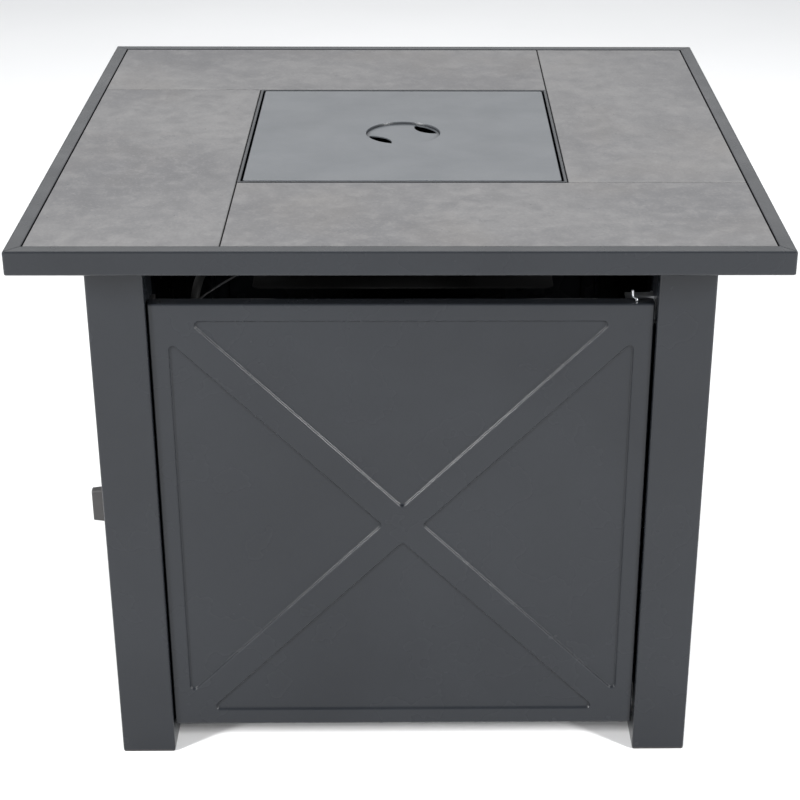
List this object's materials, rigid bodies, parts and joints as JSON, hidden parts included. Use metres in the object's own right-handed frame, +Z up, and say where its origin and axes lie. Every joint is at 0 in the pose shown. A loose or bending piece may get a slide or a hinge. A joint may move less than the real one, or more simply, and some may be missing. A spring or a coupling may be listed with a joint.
{
  "type": "gas fire pit table",
  "caption": "Square tiled-top gas fire pit table on post legs, with a lift-off burner lid, X-embossed panels, a hinged front door and a side control knob.",
  "frame": {"origin": "on the floor under the middle of the table", "axes": "+Z up, +X to the right and -Y towards the front, where the door is"},
  "size_m": [0.762, 0.762, 0.6287],
  "materials": {
    "powder_coat": "satin",
    "lid_coat": "satin",
    "tile": "matte",
    "heat_black": "matte",
    "galvanised": "satin",
    "stainless": "brushed",
    "zinc_pin": "bright",
    "brass": "satin",
    "cast": "rough",
    "ceramic": "matte",
    "black_plastic": "satin",
    "nylon": "matte",
    "lead_sleeve": "matte"
  },
  "bodies": {
    "table": {"base_tray": "powder_coat", "burner": "stainless", "burner_elbow": "cast", "burner_locknut": "stainless", "burner_pan": "heat_black", "channel_back": "heat_black", "channel_front": "heat_black", "channel_left": "heat_black", "channel_right": "heat_black", "control_plate": "powder_coat", "door_catch": "black_plastic", "electrode": "ceramic", "electrode_bracket": "heat_black", "foot_caps": "black_plastic", "heat_shield": "heat_black", "hinge_ears": "galvanised", "hinge_pin_bottom": "zinc_pin", "hinge_washer": "nylon", "igniter_body": "black_plastic", "igniter_lead": "lead_sleeve", "igniter_nut": "zinc_pin", "inlet_fitting": "brass", "leg_back_left": "powder_coat", "leg_back_right": "powder_coat", "leg_bolts": "stainless", "leg_front_left": "powder_coat", "leg_front_right": "powder_coat", "leg_plates": "powder_coat", "mixer_tube": "stainless", "opening_trim": "powder_coat", "orifice_fitting": "brass", "panel_back": "powder_coat", "panel_left": "powder_coat", "panel_right": "powder_coat", "screws": "stainless", "stem_spring": "stainless", "supply_tube": "heat_black", "tank_ring": "powder_coat", "tile_back": "tile", "tile_front": "tile", "tile_left": "tile", "tile_right": "tile", "tile_tray": "heat_black", "top_rail_back": "powder_coat", "top_rail_front": "powder_coat", "top_rail_left": "powder_coat", "top_rail_right": "powder_coat", "tray_brackets": "powder_coat", "valve_body": "brass", "valve_bonnet": "brass", "valve_bracket": "heat_black"},
    "door": {"door_panel": "powder_coat", "hinge_pin_top": "zinc_pin", "strike_plate": "galvanised"},
    "lid": {"lid": "lid_coat"},
    "push_collar": {"stem_collar": "stainless"},
    "knob": {"valve_stem": "stainless", "control_knob": "black_plastic"},
    "button": {"igniter_button": "black_plastic"}
  },
  "joints": [
    {"name": "lid_lift", "type": "slide", "parent": "table", "child": "lid", "axis": [0, 0, 1], "range_m": [0, 0.2]},
    {"name": "door_hinge", "type": "hinge", "parent": "table", "child": "door", "pos_m": [0.2385, -0.304, 0.2895], "axis": [0, 0, 1], "range_deg": [0, 110]},
    {"name": "knob_push", "type": "slide", "parent": "table", "child": "push_collar", "axis": [1, 0, 0], "range_m": [0, 0.004], "stiffness_N_per_m": 800, "springref_m": -0.003, "deforming": ["stem_spring"]},
    {"name": "knob_turn", "type": "hinge", "parent": "push_collar", "child": "knob", "pos_m": [-0.33, -0.2, 0.2557], "axis": [-1, 0, 0], "range_deg": [0, 210]},
    {"name": "igniter_push", "type": "slide", "parent": "table", "child": "button", "axis": [1, 0, 0], "range_m": [0, 0.007], "stiffness_N_per_m": 600, "springref_m": -0.003}
  ]
}
